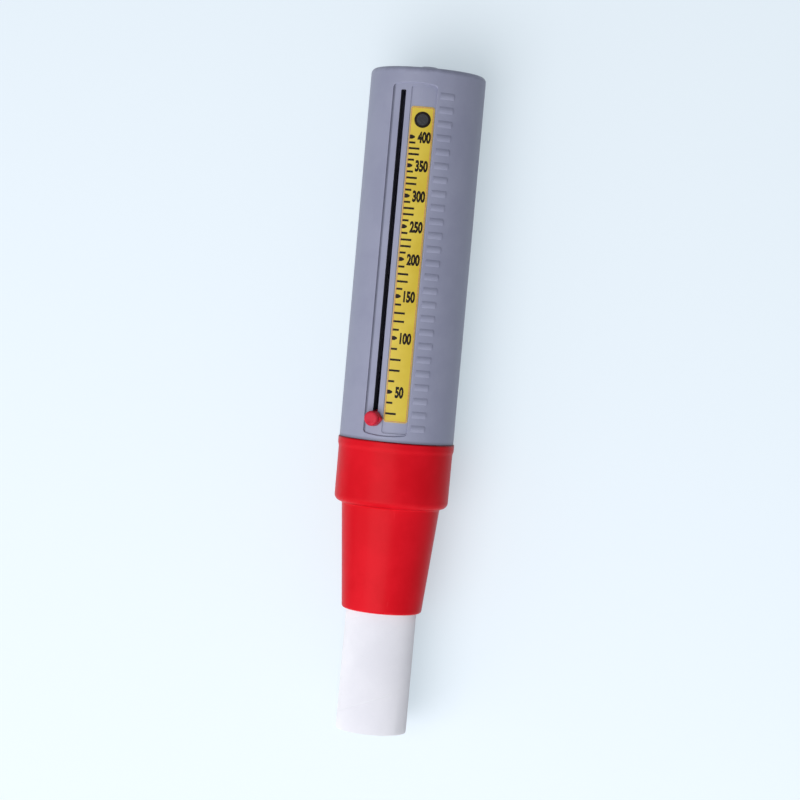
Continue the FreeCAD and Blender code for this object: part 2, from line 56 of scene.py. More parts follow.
barrel_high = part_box("body_tube")[1]
rod_low, rod_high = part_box("guide_rod")
adapter_low, adapter_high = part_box("mouthpiece_adapter")
axis_z = (rod_low.z + rod_high.z) / 2
barrel_r = barrel_high.x
GREY = (0.294, 0.306, 0.422, 1)
GREY_PALE = (0.320, 0.332, 0.449, 1)
BARREL_WALL = 0.0025
TRACK_DEPTH = 0.00045
SLOT_X = -0.0034
SLOT_HALF = 0.0008
PANEL_LEFT_X = -0.00645
SEAM_HALF = 0.00006
SEAM_HEIGHT = 4.0
PEEL_HEIGHT = 1.6
# Where masks begin and where they are full: metres from an edge, an angle in radians, or for
# SLOT_SPREAD shares of the slot's half width
RIM_ALONG = (-0.0042, -0.0022)
RIM_INWARD = (-0.0022, -0.0008)
SLOT_SPREAD = (1.3, 1.15)
SLOT_WALL_TOP = (-0.00004, -0.00012)
SLOT_WALL_FOOT = (0.00003, 0.0001)
PANEL_WALL_TOP = (-0.00008, -0.00020)
PANEL_WALL_ANGLE = (0.030, 0.010)
PANEL_END = (-0.0044, -0.0050)
BARREL_AT_LIP = (0.0011, 0.0001)
# How far painted shade and wear take over the surface, and what they make of its colour and gloss
SLOT_PAINTED_SHADE = 0.95
PANEL_WALL_PAINTED_SHADE = 0.45
BARREL_LIP_PAINTED_SHADE = 0.45
PAINTED_SHADE_GAIN = 0.10
SCRATCH_SHARE = 0.25
SCRATCH_ROUGHNESS = 0.15
RUBBED_SHARE = 0.5
WORN_GAIN = 1.25
WORN_LIFT = 0.04


def place(tree, kind, inputs=None, **settings):
    """Adds a shader node. Each input is given a value, or the socket that feeds it."""
    made = tree.nodes.new("ShaderNode" + kind)
    for name, value in settings.items():
        setattr(made, name, value)
    for key, value in (inputs or {}).items():
        if isinstance(value, bpy.types.NodeSocket):
            tree.links.new(value, made.inputs[key])
        else:
            made.inputs[key].default_value = value
    return made


def calculate(tree, operation, first, second=0.0):
    return place(tree, "Math", {0: first, 1: second}, operation=operation).outputs[0]


def multiply(tree, first, second):
    return calculate(tree, "MULTIPLY", first, second)


def fade(tree, value, start, end):
    """A mask that goes smoothly from 0 at start to 1 at end, whichever of the two is larger."""
    limits = {"Value": value, "From Min": start, "From Max": end}
    return place(tree, "MapRange", limits, interpolation_type="SMOOTHSTEP").outputs[0]


def fade_near(tree, value, edge, reach):
    """A fade that starts and ends at two distances from an edge of the form."""
    start, end = reach
    return fade(tree, value, edge + start, edge + end)


def mix_colors(tree, share, first, second):
    return place(tree, "Mix", {0: share, 6: first, 7: second}, data_type="RGBA").outputs[2]


def noise(tree, spot, scale, detail, roughness=0.5):
    """The value of a noise texture at a spot."""
    inputs = {"Vector": spot, "Scale": scale, "Detail": detail, "Roughness": roughness}
    return place(tree, "TexNoise", inputs).outputs["Fac"]


def new_group(name, inputs, outputs):
    """A shader node group with its sockets. Returns the group, its input and its output node."""
    group = bpy.data.node_groups.new(name, "ShaderNodeTree")
    for label, kind in inputs.items():
        group.interface.new_socket(label, in_out="INPUT", socket_type="NodeSocket" + kind)
    for label, kind in outputs.items():
        group.interface.new_socket(label, in_out="OUTPUT", socket_type="NodeSocket" + kind)
    return group, group.nodes.new("NodeGroupInput"), group.nodes.new("NodeGroupOutput")


def use_group(tree, group, inputs):
    return place(tree, "Group", inputs, node_tree=group)


def make_about_axis():
    """Where a point lies: its distance from the meter's axis, how far along it, and its angle."""
    group, enter, leave = new_group(
        "about_axis", {"Object": "Vector"}, {"Radius": "Float", "Along": "Float", "Angle": "Float"}
    )
    centre = {0: enter.outputs[0], 1: (0, 0, axis_z)}
    centred = place(group, "VectorMath", centre, operation="SUBTRACT")
    parts = place(group, "SeparateXYZ", {0: centred.outputs[0]})
    flat = place(group, "CombineXYZ", {0: parts.outputs[0], 1: 0.0, 2: parts.outputs[2]})
    radius = place(group, "VectorMath", {0: flat.outputs[0]}, operation="LENGTH")
    angle = calculate(group, "ARCTAN2", parts.outputs[0], parts.outputs[2])
    group.links.new(radius.outputs["Value"], leave.inputs["Radius"])
    group.links.new(parts.outputs[1], leave.inputs["Along"])
    group.links.new(angle, leave.inputs["Angle"])
    return group


def make_moulded_skin():
    """A moulding's surface: slow changes of shade, and the fine grain of its tool."""
    group, enter, leave = new_group(
        "moulded_skin", {"Object": "Vector", "Grain": "Float"},
        {"Mottle": "Float", "Height": "Float"},
    )
    spot = enter.outputs["Object"]
    slow = noise(group, spot, scale=70.0, detail=4.0, roughness=0.6)
    fine = noise(group, spot, scale=enter.outputs["Grain"], detail=2.0)
    peel = noise(group, spot, scale=420.0, detail=1.0)
    height = calculate(group, "ADD", fine, multiply(group, peel, PEEL_HEIGHT))
    group.links.new(slow, leave.inputs["Mottle"])
    group.links.new(height, leave.inputs["Height"])
    return group


def make_handling():
    """Wear from hands and drawers: rubbed edges where Edge is 1, and hair scratches everywhere."""
    group, enter, leave = new_group(
        "handling", {"Object": "Vector", "Edge": "Float"},
        {"Rubbed": "Float", "Scratches": "Float"},
    )
    spot = enter.outputs["Object"]
    patches = noise(group, spot, scale=260.0, detail=5.0, roughness=0.7)
    in_patches = fade(group, patches, start=0.42, end=0.62)
    drawn_out = place(group, "Mapping", {
        "Vector": spot, "Rotation": (0.3, 0.2, 0.5), "Scale": (260.0, 14.0, 260.0),
    })
    lines = noise(group, drawn_out.outputs[0], scale=3.0, detail=6.0)
    on_lines = fade(group, lines, start=0.66, end=0.72)
    breaks = noise(group, spot, scale=130.0, detail=2.0)
    unbroken = fade(group, breaks, start=0.5, end=0.62)
    group.links.new(multiply(group, enter.outputs["Edge"], in_patches), leave.inputs["Rubbed"])
    group.links.new(multiply(group, on_lines, unbroken), leave.inputs["Scratches"])
    return group


about_axis = make_about_axis()
moulded_skin = make_moulded_skin()
handling = make_handling()


def new_material(name, **shader_values):
    """A material with its own Principled shader, whose plain values are set on the shader."""
    material = bpy.data.materials.new(name)
    material.use_nodes = True
    tree = material.node_tree
    shader = tree.nodes["Principled BSDF"]
    for socket, value in shader_values.items():
        shader.inputs[socket.replace("_", " ")].default_value = value
    spot = place(tree, "TexCoord").outputs["Object"]
    return material, tree, shader, spot


def feed(tree, shader, color, roughness, height=None, depth=0.0):
    """Joins the colour, the roughness and a bump of that depth in metres to the shader."""
    tree.links.new(color, shader.inputs["Base Color"])
    tree.links.new(roughness, shader.inputs["Roughness"])
    if height:
        bump = place(tree, "Bump", {"Height": height, "Strength": 1.0, "Distance": depth})
        tree.links.new(bump.outputs["Normal"], shader.inputs["Normal"])


def change_color(color, gain, lift=0.0):
    return tuple(min(1, value * gain + lift) for value in color[:3]) + (1,)


def moulded_plastic(
    name, color, pale, grain, depth, smooth, rough, edges=None, relief=None, painted_shade=None, shine=0.4,
):
    """Moulded plastic. edges, relief and painted shade make masks from the place in the meter."""
    material, tree, shader, spot = new_material(name, Specular_IOR_Level=shine)
    where = use_group(tree, about_axis, {"Object": spot})
    skin = use_group(tree, moulded_skin, {"Object": spot, "Grain": grain})
    edge = edges(tree, where) if edges else 0.0
    wear = use_group(tree, handling, {"Object": spot, "Edge": edge})
    mottle, height = skin.outputs["Mottle"], skin.outputs["Height"]
    rubbed, scratches = wear.outputs["Rubbed"], wear.outputs["Scratches"]
    mottled = mix_colors(tree, fade(tree, mottle, start=0.35, end=0.65), color, pale)
    scratched = multiply(tree, scratches, SCRATCH_SHARE)
    worn = calculate(tree, "MAXIMUM", scratched, multiply(tree, rubbed, RUBBED_SHARE))
    surface = mix_colors(tree, worn, mottled, change_color(color, WORN_GAIN, WORN_LIFT))
    # Where the mask is full, the colour is darkened as painted shade
    if painted_shade:
        surface = mix_colors(tree, painted_shade(tree, where), surface, change_color(color, PAINTED_SHADE_GAIN))
    sheen = place(tree, "MapRange", {
        "Value": mottle, "From Min": 0.3, "From Max": 0.7, "To Min": smooth, "To Max": rough,
    }).outputs[0]
    sheen = calculate(tree, "ADD", sheen, multiply(tree, scratches, SCRATCH_ROUGHNESS))
    if relief:
        height = calculate(tree, "ADD", height, relief(tree, where))
    feed(tree, shader, surface, sheen, height, depth)
    return material


def barrel_edges(tree, where):
    """The domed end's rim is rubbed most."""
    rim = fade_near(tree, where.outputs["Along"], barrel_high.y, RIM_ALONG)
    outside = fade_near(tree, where.outputs["Radius"], barrel_r, RIM_INWARD)
    return multiply(tree, rim, outside)


def barrel_seams(tree, where):
    """The tool's parting line stands up as a hair ridge along both sides of the barrel."""
    side = calculate(tree, "ABSOLUTE", where.outputs["Angle"])
    off = calculate(tree, "ABSOLUTE", calculate(tree, "SUBTRACT", side, math.pi / 2))
    half_angle = SEAM_HALF / barrel_r
    return multiply(tree, fade(tree, off, half_angle * 2, half_angle), SEAM_HEIGHT)


def angle_from(tree, angle, x):
    """How far round the barrel a point is from the line that lies at x on its outside."""
    return calculate(tree, "ABSOLUTE", calculate(tree, "SUBTRACT", angle, math.asin(x / barrel_r)))


def barrel_grime(tree, where):
    """Painted shade in the slot, at the panel's left wall and where the adapter begins."""
    radius, along, angle = (where.outputs[name] for name in ("Radius", "Along", "Angle"))
    bore_r = barrel_r - BARREL_WALL
    slot_angle = SLOT_HALF / bore_r
    outer, inner = SLOT_SPREAD
    from_slot = angle_from(tree, angle, SLOT_X)
    in_slot = fade(tree, from_slot, slot_angle * outer, slot_angle * inner)
    below_track = fade_near(tree, radius, barrel_r - TRACK_DEPTH, SLOT_WALL_TOP)
    above_bore = fade_near(tree, radius, bore_r, SLOT_WALL_FOOT)
    in_wall = multiply(tree, below_track, above_bore)
    from_left = angle_from(tree, angle, PANEL_LEFT_X)
    sunk = fade_near(tree, radius, barrel_r, PANEL_WALL_TOP)
    at_left = multiply(tree, sunk, fade(tree, from_left, *PANEL_WALL_ANGLE))
    at_lip = fade_near(tree, along, adapter_high.y, BARREL_AT_LIP)
    # Painted shade: the slot's walls near black, the panel's left wall and the band above the lip
    # darker
    slot_dark = multiply(tree, multiply(tree, in_slot, in_wall), SLOT_PAINTED_SHADE)
    left_dark = multiply(tree, at_left, PANEL_WALL_PAINTED_SHADE)
    in_panel = multiply(
        tree, calculate(tree, "MAXIMUM", slot_dark, left_dark),
        fade_near(tree, along, barrel_high.y, PANEL_END),
    )
    return calculate(tree, "MAXIMUM", in_panel, multiply(tree, at_lip, BARREL_LIP_PAINTED_SHADE))


grey_abs = moulded_plastic(
    "grey_abs", GREY, GREY_PALE, grain=2600.0, depth=0.000012, smooth=0.40, rough=0.50,
    edges=barrel_edges, relief=barrel_seams, painted_shade=barrel_grime,
)


def finish_node(name, material):
    """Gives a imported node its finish."""
    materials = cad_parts[name].data.materials
    materials.clear()
    materials.append(material)


finish_node("body_tube", grey_abs)


# Scale label
# A strip of yellow film, printed and stuck into the panel. Dark ink gives a mark every 10 litres a
# minute, a bullet and a number every 50, a plain disc at the top and a thin, rust-coloured frame.

film_low, film_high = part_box("scale_label")
film_r = film_high.z - axis_z
FILM_YELLOW = (0.640, 0.465, 0.036, 1)
FILM_PALE = (0.700, 0.535, 0.060, 1)
SCREEN_SHARE = 0.10
INK = (0.012, 0.007, 0.005, 1)
INK_SOFT = (0.040, 0.040, 0.046, 1)
FRAME_INK = (0.500, 0.250, 0.130, 1)
INK_FADED_GAIN = 1.5
INK_FADED_LIFT = 0.004
INK_HEIGHT = 0.00003
INK_STRIP = 0.0004
FLOW_PLACES = {
    30: 0.0025, 50: 0.0088, 100: 0.0245, 150: 0.0367, 200: 0.0475, 250: 0.0570, 300: 0.0659,
    350: 0.0747, 400: 0.0830,
}
FLOW_STEP = 10
NUMBERED_STEP = 50
MARK_INSET = 0.0003
MARK_THICKNESS = 0.0006
SHORT_MARK = 0.0019
LONG_MARK = 0.0032
BULLET_LENGTH = 0.0016
BULLET_WIDTH = 0.0012
BULLET_TAPER_SHARE = 0.5
BULLET_TIP_SHARE = 0.35
NUMBER_INSET = 0.00270
NUMBER_HEIGHT = 0.0034
NUMBER_BOLDNESS = 0.05
NUMBER_WIDTH = 0.0037
DISC_RADIUS = 0.00235
DISC_RING = 0.0007
DISC_ABOVE = 0.0051
DISC_RIGHT = 0.0002
FRAME_INSET = 0.00015
FRAME_WIDTH = 0.00025
FRAME_CORNER = 0.00065
SHARP_ANGLE = math.radians(35)


def printed_film():
    """Yellow print through a fine dot screen, on film that isn't quite flat."""
    material, tree, shader, spot = new_material("printed_film", Specular_IOR_Level=0.3)
    cloud = noise(tree, spot, scale=90.0, detail=3.0)
    screen = place(tree, "TexVoronoi", {"Vector": spot, "Scale": 5200.0, "Randomness": 0.25})
    dots = fade(tree, screen.outputs["Distance"], start=0.2, end=0.55)
    toned = mix_colors(tree, fade(tree, cloud, start=0.35, end=0.65), FILM_YELLOW, FILM_PALE)
    screened = mix_colors(tree, multiply(tree, dots, SCREEN_SHARE), toned, FILM_PALE)
    peel = noise(tree, spot, scale=700.0, detail=2.0)
    sheen = place(tree, "MapRange", {"Value": cloud, "To Min": 0.34, "To Max": 0.50})
    feed(tree, shader, screened, sheen.outputs[0], peel, depth=0.00001)
    return material


def printing_ink(name, color):
    """Ink that is a little thinner in places."""
    material, tree, shader, spot = new_material(name, Specular_IOR_Level=0.15)
    thin = noise(tree, spot, scale=2400.0, detail=3.0)
    faded = change_color(color, INK_FADED_GAIN, INK_FADED_LIFT)
    shade = mix_colors(tree, fade(tree, thin, start=0.45, end=0.75), color, faded)
    sheen = place(tree, "MapRange", {"Value": thin, "To Min": 0.35, "To Max": 0.55})
    feed(tree, shader, shade, sheen.outputs[0])
    return material


def mark_place(flow):
    """Where a flow in litres a minute is marked: evenly between two flows whose place is known."""
    above = min(known for known in FLOW_PLACES if known >= flow)
    below = max(known for known in FLOW_PLACES if known <= flow)
    share = (flow - below) / (above - below) if above > below else 0
    return film_low.y + FLOW_PLACES[below] + share * (FLOW_PLACES[above] - FLOW_PLACES[below])


def flat_patch(bm, left, width, middle_y, thickness):
    """A flat oblong, cut across into strips so that it can follow the barrel's round."""
    strips = max(1, math.ceil(width / INK_STRIP))
    middle = Matrix.Translation((left + width / 2, middle_y, 0))
    matrix = middle @ Matrix.Diagonal((width, thickness, 1, 1))
    grid = bmesh.ops.create_grid(bm, x_segments=strips, y_segments=1, size=0.5, matrix=matrix)
    return grid["verts"]


def lay_on_film(bm):
    """Cuts a flat print into strips, gives it the ink's height and curves it onto the film."""
    edge = math.floor(film_low.x / INK_STRIP) * INK_STRIP
    while edge < film_high.x:
        geometry = bm.verts[:] + bm.edges[:] + bm.faces[:]
        bmesh.ops.bisect_plane(
            bm, geom=geometry, dist=1e-8, plane_co=(edge, 0, 0), plane_no=(1, 0, 0),
        )
        edge += INK_STRIP
    raised = bmesh.ops.extrude_face_region(bm, geom=bm.faces[:], use_keep_orig=True)
    top = [item for item in raised["geom"] if isinstance(item, bmesh.types.BMVert)]
    bmesh.ops.translate(bm, vec=(0, 0, INK_HEIGHT), verts=top)
    for vert in bm.verts:
        reach = film_r - INK_HEIGHT / 3 + vert.co.z
        vert.co.z = axis_z + math.sqrt(reach ** 2 - vert.co.x ** 2)


def finish_piece(name, bm, material, body, replaced=None):
    """Turns a finished bmesh into a piece of the meter that rides on its body."""
    bmesh.ops.recalc_face_normals(bm, faces=bm.faces[:])
    mesh = bpy.data.meshes.new(name)
    bm.to_mesh(mesh)
    bm.free()
    mesh.shade_smooth()
    mesh.set_sharp_from_angle(angle=SHARP_ANGLE)
    mesh.materials.append(material)
    piece = bpy.data.objects.new(name, mesh)
    bpy.context.scene.collection.objects.link(piece)
    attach(piece, body)
    if replaced:
        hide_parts(replaced)
    return piece


def print_marks():
    """A bullet at each numbered flow, short marks 10 either side of it, and long marks 20."""
    bm = bmesh.new()
    left = film_low.x + MARK_INSET
    for flow in range(min(FLOW_PLACES), max(FLOW_PLACES) + 1, FLOW_STEP):
        y = mark_place(flow)
        beyond = flow % NUMBERED_STEP
        if beyond == 0:
            tip = left + BULLET_LENGTH
            for vert in flat_patch(bm, left, BULLET_LENGTH, y, BULLET_WIDTH):
                narrowing = min(1, (tip - vert.co.x) / (BULLET_LENGTH * BULLET_TAPER_SHARE))
                share = BULLET_TIP_SHARE + (1 - BULLET_TIP_SHARE) * narrowing
                vert.co.y = y + (vert.co.y - y) * share
        elif beyond in (FLOW_STEP, NUMBERED_STEP - FLOW_STEP):
            flat_patch(bm, left, SHORT_MARK, y, MARK_THICKNESS)
        else:
            flat_patch(bm, left, LONG_MARK, y, MARK_THICKNESS)
    lay_on_film(bm)
    return bm


def print_numbers():
    """Bold, condensed figures, all starting on one line to the right of the bullets."""
    bm = bmesh.new()
    stretch = None
    for flow in range(max(FLOW_PLACES), 0, -NUMBERED_STEP):
        text = bpy.data.curves.new("figures", "FONT")
        text.body = str(flow)
        text.offset = NUMBER_BOLDNESS
        text.resolution_u = 5
        holder = bpy.data.objects.new("figures", text)
        mesh = bpy.data.meshes.new_from_object(holder)
        corners = [vert.co for vert in mesh.vertices]
        low = Vector((min(c.x for c in corners), min(c.y for c in corners), 0))
        high = Vector((max(c.x for c in corners), max(c.y for c in corners), 0))
        stretch = stretch or NUMBER_WIDTH / (high.x - low.x)
        start = Vector((film_low.x + NUMBER_INSET, mark_place(flow) - NUMBER_HEIGHT / 2, 0))
        scale = Matrix.Diagonal((stretch, NUMBER_HEIGHT / (high.y - low.y), 1, 1))
        mesh.transform(Matrix.Translation(start) @ scale @ Matrix.Translation(-low))
        bm.from_mesh(mesh)
        bpy.data.meshes.remove(mesh)
        bpy.data.objects.remove(holder)
        bpy.data.curves.remove(text)
    # The font fills its outlines with some slivers, which this turns into proper triangles
    bmesh.ops.beautify_fill(bm, faces=bm.faces[:], edges=bm.edges[:], method="AREA")
    lay_on_film(bm)
    return bm


def keep_rim(bm, width):
    """Leaves only a line of that width inside the edge of a flat form."""
    rim = bmesh.ops.inset_region(
        bm, faces=bm.faces[:], thickness=width, use_boundary=True, use_even_offset=True
    )["faces"]
    inside = [face for face in bm.faces if face not in rim]
    bmesh.ops.delete(bm, geom=inside, context="FACES")


def print_disc(outer_r, inner_r):
    """A round spot, or a ring where inner_r is given, in the top end of the film."""
    bm = bmesh.new()
    middle_x = (film_low.x + film_high.x) / 2 + DISC_RIGHT
    middle = Matrix.Translation((middle_x, mark_place(max(FLOW_PLACES)) + DISC_ABOVE, 0))
    bmesh.ops.create_circle(bm, cap_ends=True, segments=64, radius=outer_r, matrix=middle)
    if inner_r:
        keep_rim(bm, outer_r - inner_r)
    lay_on_film(bm)
    return bm


def print_frame():
    """One thin line round the film, just inside its cut edge."""
    bm = bmesh.new()
    size = Vector((film_high.x - film_low.x, film_high.y - film_low.y, 0))
    size -= Vector((1, 1, 0)) * 2 * FRAME_INSET
    middle = Vector(((film_low.x + film_high.x) / 2, (film_low.y + film_high.y) / 2, 0))
    matrix = Matrix.Translation(middle) @ Matrix.Diagonal((size.x, size.y, 1, 1))
    bmesh.ops.create_grid(bm, x_segments=1, y_segments=1, size=0.5, matrix=matrix)
    bmesh.ops.bevel(
        bm, geom=bm.verts[:], affect="VERTICES", offset=FRAME_CORNER, segments=8, profile=0.5,
        material=-1,
    )
    keep_rim(bm, FRAME_WIDTH)
    lay_on_film(bm)
    return bm


finish_node("scale_label", printed_film())
dark_ink = printing_ink("dark_ink", INK)
soft_disc_r = DISC_RADIUS - DISC_RING
for name, printed, ink in (
    ("scale_marks", print_marks(), dark_ink),
    ("scale_numbers", print_numbers(), dark_ink),
    ("scale_disc_rim", print_disc(DISC_RADIUS, soft_disc_r), dark_ink),
    ("scale_disc", print_disc(soft_disc_r, 0), printing_ink("soft_ink", INK_SOFT)),
    ("scale_frame_line", print_frame(), printing_ink("frame_ink", FRAME_INK)),
):
    finish_piece(name, printed, ink, "meter_body")


# Guide rod and its carrier
# The rod is ground stainless steel. A nut and washer pull it into a three-armed carrier of white
# acetal, which the adapter clamps against the barrel, and a spring clip stops it on the other side.

ACETAL = (0.760, 0.760, 0.730, 1)
ACETAL_PALE = (0.820, 0.820, 0.800, 1)
STEEL = (0.560, 0.565, 0.580, 1)
STEEL_DARK = (0.420, 0.425, 0.440, 1)


def turned_steel(name, smooth, rough):
    """Steel with fine rings from the lathe or the grinding wheel."""
    material, tree, shader, spot = new_material(name, Metallic=1.0)
    squeezed = place(tree, "Mapping", {"Vector": spot, "Scale": (60.0, 9000.0, 60.0)}).outputs[0]
    rings = noise(tree, squeezed, scale=1.0, detail=3.0)
    cloud = noise(tree, spot, scale=180.0, detail=4.0)
    shade = mix_colors(tree, fade(tree, cloud, start=0.35, end=0.7), STEEL, STEEL_DARK)
    sheen = place(tree, "MapRange", {"Value": rings, "To Min": smooth, "To Max": rough})
    feed(tree, shader, shade, sheen.outputs[0], rings, depth=0.000004)
    return material


acetal = moulded_plastic(
    "acetal", ACETAL, ACETAL_PALE, grain=3400.0, depth=0.000008, smooth=0.38, rough=0.48,
)
ground_steel = turned_steel("ground_steel", smooth=0.18, rough=0.38)
finish_node("rod_carrier", acetal)
for name in ("guide_rod", "rod_washer", "rod_nut", "rod_clip"):
    finish_node(name, ground_steel)


# Return spring
# A long open coil of spring steel wire round the rod, with closed and ground ends. It lies between
# the piston and the vent end, closes up as breath drives the piston along, and pushes it back.

SPRING_WIRE_R = 0.00025
SPRING_TURNS = 13
SPRING_SIDES = 10
SPRING_STEPS = 36
spring_low, spring_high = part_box("return_spring")


def wind_spring():
    """One closed turn, the open turns and one closed turn, with both ends ground flat."""
    bm = bmesh.new()
    mean_r = spring_high.x - SPRING_WIRE_R
    length = spring_high.y - spring_low.y
    closed_pitch = 2 * SPRING_WIRE_R
    open_pitch = (length - 2 * closed_pitch) / (SPRING_TURNS - 2)
    stand = Matrix.Translation((mean_r, spring_low.y, axis_z))
    section = bmesh.ops.create_circle(
        bm, segments=SPRING_SIDES, radius=SPRING_WIRE_R, matrix=stand,
    )
    last = section["verts"] + bm.edges[:]
    for turns, pitch in ((1, closed_pitch), (SPRING_TURNS - 2, open_pitch), (1, closed_pitch)):
        spun = bmesh.ops.spin(
            bm, geom=last, cent=(0, 0, axis_z), axis=(0, 1, 0), dvec=(0, pitch / SPRING_STEPS, 0),
            angle=2 * math.pi * turns, steps=SPRING_STEPS * turns,
            use_merge=False, use_duplicate=False,
        )
        last = spun["geom_last"]
    for end_y, outward in ((spring_low.y, -1), (spring_high.y, 1)):
        bmesh.ops.bisect_plane(
            bm, geom=bm.verts[:] + bm.edges[:] + bm.faces[:], dist=1e-8,
            plane_co=(0, end_y, 0), plane_no=(0, outward, 0), clear_outer=True,
        )
    bmesh.ops.holes_fill(bm, edges=[edge for edge in bm.edges if edge.is_boundary], sides=0)
    return bm


spring = finish_piece(
    "coil_spring", wind_spring(), turned_steel("spring_wire", smooth=0.25, rough=0.42),
    "meter_body", replaced="return_spring",
)
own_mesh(spring)


# Piston and buffers
# The piston is a thin acetal moulding that slides on the rod, with a soft black washer at each end
# of its run so that it comes to rest without a click.

RUBBER = (0.018, 0.018, 0.020, 1)
RUBBER_PALE = (0.030, 0.030, 0.033, 1)

black_rubber = moulded_plastic(
    "black_rubber", RUBBER, RUBBER_PALE, grain=1800.0, depth=0.00003, smooth=0.62, rough=0.80,
)
finish_node("piston", acetal)
for name in ("rest_buffer", "end_buffer"):
    finish_node(name, black_rubber)


# Pointer
# A small red knob over the slot, pinned through it to the shoe that the piston pushes. A bowed leaf
# of spring steel under the knob gives the drag that holds the reading.

POINTER_RED = (0.520, 0.008, 0.030, 1)
POINTER_PALE = (0.580, 0.011, 0.038, 1)
KNOB_TOP = (-0.0012, -0.0003)
knob_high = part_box("pointer_knob")[1]


def knob_edges(tree, where):
    """Fingers rub the knob's top."""
    return fade_near(tree, where.outputs["Radius"], knob_high.z - axis_z, KNOB_TOP)


pointer_plastic = moulded_plastic(
    "pointer_plastic", POINTER_RED, POINTER_PALE, grain=3000.0, depth=0.000008,
    smooth=0.28, rough=0.38, edges=knob_edges, shine=0.15,
)
for name in ("pointer_knob", "pointer_shoe"):
    finish_node(name, pointer_plastic)
finish_node("friction_leaf", ground_steel)


# Mouthpiece adapter
# A red ABS moulding that snaps over the barrel's spigot with its wide collar and takes the card
# mouthpiece in its cone. A thin rubber ring inside it seals against the carrier.

ADAPTER_RED = (0.660, 0.006, 0.014, 1)
ADAPTER_PALE = (0.720, 0.008, 0.018, 1)
CONE_MOUTH = (0.0007, 0.0001)
COLLAR_LIP = (-0.0007, -0.0001)
COLLAR_LIP_PAINTED_SHADE = 0.55


def adapter_edges(tree, where):
    """The cone's mouth gets the knocks."""
    return fade_near(tree, where.outputs["Along"], adapter_low.y, CONE_MOUTH)


def adapter_grime(tree, where):
    """Painted shade along the collar's lip, where it meets the barrel."""
    at_lip = fade_near(tree, where.outputs["Along"], adapter_high.y, COLLAR_LIP)
    return multiply(tree, at_lip, COLLAR_LIP_PAINTED_SHADE)


red_abs = moulded_plastic(
    "red_abs", ADAPTER_RED, ADAPTER_PALE, grain=2200.0, depth=0.000006, smooth=0.30, rough=0.40,
    edges=adapter_edges, painted_shade=adapter_grime, shine=0.06,
)
finish_node("mouthpiece_adapter", red_abs)
finish_node("adapter_gasket", black_rubber)


# Card mouthpiece
# A single-use tube of white card, wound in a spiral from strips and cut square. Its seam runs round
# it as a fine groove, and the cut ends show the plies.

CARD_WALL = 0.0008
CARD_PITCH = 0.027
CARD_STEPS = 96
CARD_SEAM_HALF = 0.00016
CARD_SEAM_DEPTH = 0.00005
CARD_SPARE_TURNS = 1.4
CARD_CORNER = 0.00014
CARD_CORNER_SOFTENING = 0.3
CARD_PLY = 0.00016
CARD_LOW_CUT = (0.00012, 0.00002)
CARD_HIGH_CUT = (-0.00012, -0.00002)
CARD_WHITE = (0.808, 0.805, 0.853, 1)
CARD_PALE = (0.846, 0.842, 0.886, 1)
CARD_FIBRE = (0.700, 0.700, 0.730, 1)
FLECK_SHARE = 0.35
GLUE_SHARE = 0.45
card_low, card_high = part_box("mouthpiece")
card_r = card_high.x


def push_loop(bm, loop, radius, y):
    """Extrudes an open end's loop of edges and sets the new loop on a circle round the axis."""
    made = bmesh.ops.extrude_edge_only(bm, edges=loop)["geom"]
    for vert in (item for item in made if isinstance(item, bmesh.types.BMVert)):
        out = Vector((vert.co.x, 0, vert.co.z - axis_z)).normalized() * radius
        vert.co = (out.x, y, axis_z + out.z)
    return [item for item in made if isinstance(item, bmesh.types.BMEdge) and item.is_boundary]


def wind_card():
    """The strip's width is spun round and along at once, cut square, and given its inner wall."""
    bm = bmesh.new()
    shoulder = CARD_SEAM_HALF * 3
    profile = [
        (0, CARD_SEAM_DEPTH), (CARD_SEAM_HALF, 0), (shoulder, 0), (CARD_PITCH / 2, 0),
        (CARD_PITCH - shoulder, 0), (CARD_PITCH - CARD_SEAM_HALF, 0), (CARD_PITCH, CARD_SEAM_DEPTH),
    ]
    start_y = card_low.y - CARD_SPARE_TURNS * CARD_PITCH
    verts = [bm.verts.new((card_r - depth, start_y + along, axis_z)) for along, depth in profile]
    edges = [bm.edges.new(pair) for pair in zip(verts, verts[1:])]
    turns = math.ceil((card_high.y - start_y) / CARD_PITCH)
    bmesh.ops.spin(
        bm, geom=verts + edges, cent=(0, 0, axis_z), axis=(0, 1, 0),
        dvec=(0, CARD_PITCH / CARD_STEPS, 0), angle=2 * math.pi * turns, steps=CARD_STEPS * turns,
        use_merge=False, use_duplicate=False,
    )
    bmesh.ops.remove_doubles(bm, verts=bm.verts[:], dist=1e-6)
    ends = ((card_low.y, 1), (card_high.y, -1))
    for end_y, inward in ends:
        bmesh.ops.bisect_plane(
            bm, geom=bm.verts[:] + bm.edges[:] + bm.faces[:], dist=1e-8,
            plane_co=(0, end_y + inward * CARD_CORNER, 0), plane_no=(0, -inward, 0),
            clear_outer=True,
        )
    inner_r = card_r - CARD_WALL
    softening = CARD_CORNER * CARD_CORNER_SOFTENING
    inner_loops = []
    for end_y, inward in ends:
        corner_y = end_y + inward * CARD_CORNER
        loop = [
            edge for edge in bm.edges
            if edge.is_boundary and abs(edge.verts[0].co.y - corner_y) < CARD_CORNER / 2
        ]
        for radius, y in (
            (card_r - softening, end_y + inward * softening),
            (card_r - CARD_CORNER, end_y),
            (inner_r + CARD_CORNER, end_y),
            (inner_r + softening, end_y + inward * softening),
            (inner_r, corner_y),
        ):
            loop = push_loop(bm, loop, radius, y)
        inner_loops += loop
    bmesh.ops.bridge_loops(bm, edges=inner_loops)
    return bm


